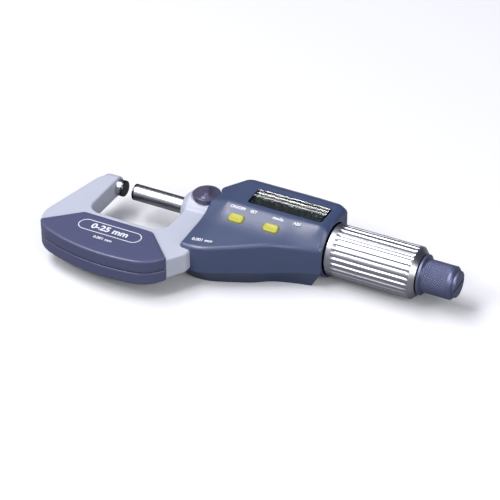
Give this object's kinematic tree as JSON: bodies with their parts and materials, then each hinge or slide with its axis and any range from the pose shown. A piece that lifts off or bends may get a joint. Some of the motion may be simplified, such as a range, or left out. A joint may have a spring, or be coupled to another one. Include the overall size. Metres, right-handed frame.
{
  "type": "digital outside micrometer",
  "caption": "Digital outside micrometer: U-frame with anvil, screw spindle, fluted thimble, ratchet stop, lock knob and a display housing with two keys.",
  "frame": {"origin": "centre of the anvil's measuring face", "axes": "+X along the spindle from the anvil to the ratchet, +Y towards the open side of the frame's throat, +Z out of the display; the instrument lies on the back of its housing"},
  "size_m": [0.1572, 0.0643, 0.0248],
  "materials": {
    "frame_enamel": "smooth satin enamel on cast iron",
    "plate_plastic": "fine-grained moulded plastic",
    "housing_plastic": "satin moulded plastic",
    "satin_chrome": "satin chrome plate",
    "ground_steel": "ground and hardened",
    "carbide": "lapped hard metal",
    "blued_steel": "darkened steel",
    "brass": "turned brass",
    "screw_steel": "plated steel",
    "knob_plastic": "knurled, dark",
    "window": "clear, polished",
    "display": "liquid crystal panel",
    "key_plastic": "yellow moulded plastic",
    "inner_plastic": "natural moulded plastic",
    "board": "glass-fibre board with solder mask",
    "seal_rubber": "nitrile rubber",
    "spring_steel": "spring steel",
    "battery_steel": "nickel-plated can"
  },
  "bodies": {
    "root": {"frame": "frame_enamel", "front_insulating_plate": "plate_plastic", "rear_insulating_plate": "plate_plastic", "plate_screws": "screw_steel", "anvil": "ground_steel", "anvil_tip": "carbide", "spindle_seal": "seal_rubber", "lock_pad": "brass", "inner_sleeve": "ground_steel", "adjusting_nut": "ground_steel", "front_cover": "housing_plastic", "rear_cover": "housing_plastic", "cover_screws": "screw_steel", "display_window": "window", "lcd_panel": "display", "lcd_holder": "inner_plastic", "zebra_strip": "seal_rubber", "circuit_board": "board", "key_board": "board", "switch_domes": "spring_steel", "encoder_stator": "board", "battery": "battery_steel", "battery_spring_contact": "spring_steel", "battery_side_contact": "spring_steel"},
    "rotor": {"encoder_rotor": "inner_plastic", "rotor_key": "screw_steel"},
    "spindle": {"spindle": "ground_steel", "spindle_tip": "carbide", "thimble": "satin_chrome", "ratchet_core": "ground_steel", "friction_washer": "brass"},
    "ratchet": {"ratchet_knob": "knob_plastic", "friction_spring": "spring_steel", "ratchet_end_cap": "knob_plastic"},
    "lock": {"lock_knob": "blued_steel", "lock_stud": "screw_steel"},
    "left_key": {"left_button": "key_plastic"},
    "right_key": {"right_button": "key_plastic"},
    "battery_cap": {"battery_cap": "housing_plastic", "battery_cap_ring": "seal_rubber"}
  },
  "joints": [
    {"name": "rotor_turn", "type": "hinge", "parent": "root", "child": "rotor", "pos_m": [0.05, 0, 0], "axis": [1, 0, 0], "range_deg": [-3024, 14976]},
    {"name": "spindle_feed", "type": "slide", "parent": "rotor", "child": "spindle", "axis": [1, 0, 0], "range_m": [-0.0042, 0.0208]},
    {"name": "ratchet_slip", "type": "hinge", "parent": "spindle", "child": "ratchet", "pos_m": [0.13, 0, 0], "axis": [1, 0, 0], "continuous": true},
    {"name": "lock_turn", "type": "hinge", "parent": "root", "child": "lock", "pos_m": [0.036, 0, 0.007], "axis": [0, 0, 1], "range_deg": [-70, 0]},
    {"name": "left_key_press", "type": "slide", "parent": "root", "child": "left_key", "axis": [0, 0.3854, -0.9228], "range_m": [0, 0.0004], "stiffness_N_per_m": 1500},
    {"name": "right_key_press", "type": "slide", "parent": "root", "child": "right_key", "axis": [0, 0.3854, -0.9228], "range_m": [0, 0.0004], "stiffness_N_per_m": 1500},
    {"name": "battery_cap_turn", "type": "hinge", "parent": "root", "child": "battery_cap", "pos_m": [0.064, -0.0025, -0.012], "axis": [0, 0, 1], "range_deg": [0, 45]}
  ],
  "couplings": [
    {"joint": "rotor_turn", "follows": "spindle_feed", "rad_per_m": 12566}
  ]
}
